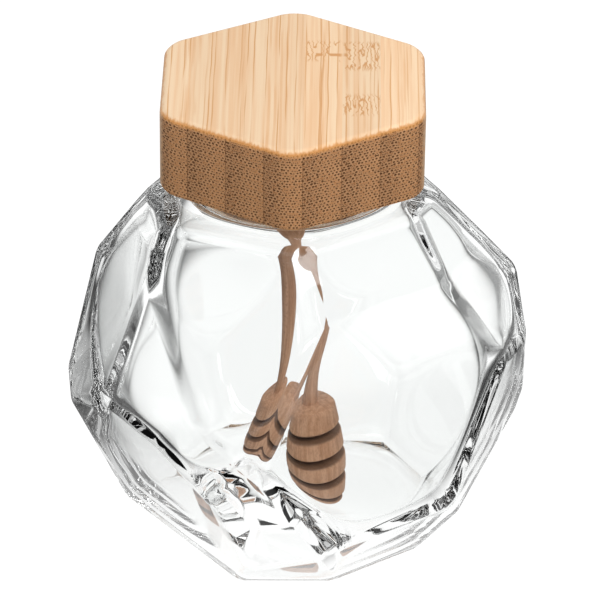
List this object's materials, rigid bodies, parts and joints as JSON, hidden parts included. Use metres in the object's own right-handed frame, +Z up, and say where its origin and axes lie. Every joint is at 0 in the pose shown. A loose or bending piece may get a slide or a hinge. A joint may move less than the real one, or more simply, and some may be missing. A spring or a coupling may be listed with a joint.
{
  "type": "honey pot",
  "caption": "Clear glass pot with uneven flat facets, a round neck, a hexagonal bamboo lid and a grooved wooden dipper hanging inside.",
  "frame": {"origin": "point on the surface that the pot stands on, straight under the middle of the neck", "axes": "+Z up along the neck's axis, -Y towards the front, where two corners of the lid lie on the Y axis"},
  "size_m": [0.1125, 0.1126, 0.124],
  "materials": {
    "glass": "clear, smooth, uncoloured",
    "bamboo": "sanded bamboo strips, satin, darker end grain round the sides",
    "dipper_wood": "turned wood, bare"
  },
  "bodies": {
    "root": {"jar": "glass", "lid": "bamboo", "dipper": "dipper_wood"}
  },
  "joints": []
}
